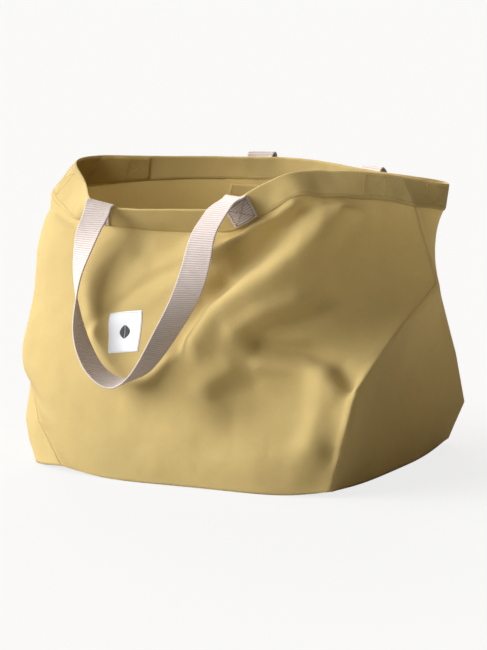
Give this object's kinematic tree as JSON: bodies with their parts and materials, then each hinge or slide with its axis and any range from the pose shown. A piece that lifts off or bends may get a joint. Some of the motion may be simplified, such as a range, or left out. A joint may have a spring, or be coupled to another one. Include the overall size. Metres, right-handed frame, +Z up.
{
  "type": "foldable tote bag",
  "caption": "Wide open canvas tote bag with triangular end gussets, a folded hem, an inner pocket and webbing handles that swing over its mouth.",
  "frame": {"origin": "on the floor, under the middle of the base", "axes": "+Z up, +X along the mouth towards the end whose gusset seam shows, -Y out of the panel with the label"},
  "size_m": [0.5824, 0.501, 0.4005],
  "materials": {
    "canvas": "plain-woven canvas, matt",
    "hem_canvas": "double-layer canvas hem, matt",
    "end_tape": "ribbed tape, slight sheen",
    "webbing": "ribbed webbing, matt",
    "label": "woven satin label",
    "webbing_thread": "polyester thread",
    "canvas_thread": "polyester thread",
    "label_thread": "polyester thread"
  },
  "bodies": {
    "bag": {"front_panel": "canvas", "back_panel": "canvas", "left_gusset": "canvas", "right_gusset": "canvas", "base_panel": "canvas", "front_rim_band": "hem_canvas", "back_rim_band": "hem_canvas", "left_end_tape": "end_tape", "right_end_tape": "end_tape", "inner_pocket": "canvas", "woven_label": "label", "front_handle_left_end": "webbing", "front_handle_right_end": "webbing", "back_handle_left_end": "webbing", "back_handle_right_end": "webbing", "front_handle_stitching": "webbing_thread", "back_handle_stitching": "webbing_thread", "rim_stitching": "canvas_thread", "end_tape_stitching": "canvas_thread", "pocket_stitching": "canvas_thread", "label_stitching": "label_thread"},
    "front_handle": {"front_handle_strap": "webbing"},
    "back_handle": {"back_handle_strap": "webbing"}
  },
  "joints": [
    {"name": "front_handle_swing", "type": "hinge", "parent": "bag", "child": "front_handle", "pos_m": [-0.124, -0.131, 0.351], "axis": [-0.9895, 0.1237, -0.0742], "range_deg": [0, 155]},
    {"name": "back_handle_swing", "type": "hinge", "parent": "bag", "child": "back_handle", "pos_m": [0.18, 0.059, 0.394], "axis": [0.9689, -0.2436, -0.0433], "range_deg": [0, 150]}
  ]
}
